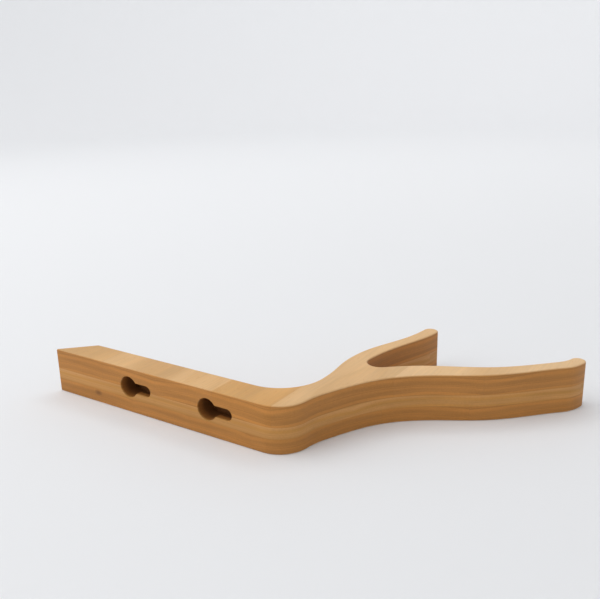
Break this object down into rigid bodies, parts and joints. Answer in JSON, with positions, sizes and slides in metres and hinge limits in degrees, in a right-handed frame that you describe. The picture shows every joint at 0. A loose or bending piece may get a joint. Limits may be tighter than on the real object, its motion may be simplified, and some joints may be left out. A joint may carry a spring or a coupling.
{
  "type": "wall hook",
  "caption": "Branch-shaped wooden wall hook with a short and a long prong, hung from hidden screws by keyhole slots in its back.",
  "frame": {"origin": "centre of the bounding box, on the lower broad face", "axes": "+X along the wall plate from its pointed end towards the heel, +Y out from the wall towards the prongs, +Z through the panel's thickness"},
  "size_m": [0.2054, 0.1082, 0.02],
  "materials": {
    "maple_face_staves": "oiled hardwood, satin",
    "maple_core_staves": "oiled hardwood, satin"
  },
  "bodies": {
    "root": {"core_stave_1": "maple_core_staves", "core_stave_2": "maple_core_staves", "core_stave_3_long_prong": "maple_core_staves", "core_stave_3_short_prong": "maple_core_staves", "core_stave_4_long_prong": "maple_core_staves", "core_stave_4_short_prong": "maple_core_staves", "lower_stave_1": "maple_face_staves", "lower_stave_2": "maple_face_staves", "lower_stave_3": "maple_face_staves", "lower_stave_4": "maple_face_staves", "lower_stave_5": "maple_face_staves", "lower_stave_6": "maple_face_staves", "lower_stave_7": "maple_face_staves", "upper_stave_1": "maple_face_staves", "upper_stave_2": "maple_face_staves", "upper_stave_3": "maple_face_staves", "upper_stave_4": "maple_face_staves", "upper_stave_5": "maple_face_staves", "upper_stave_6": "maple_face_staves", "upper_stave_7": "maple_face_staves"}
  },
  "joints": []
}
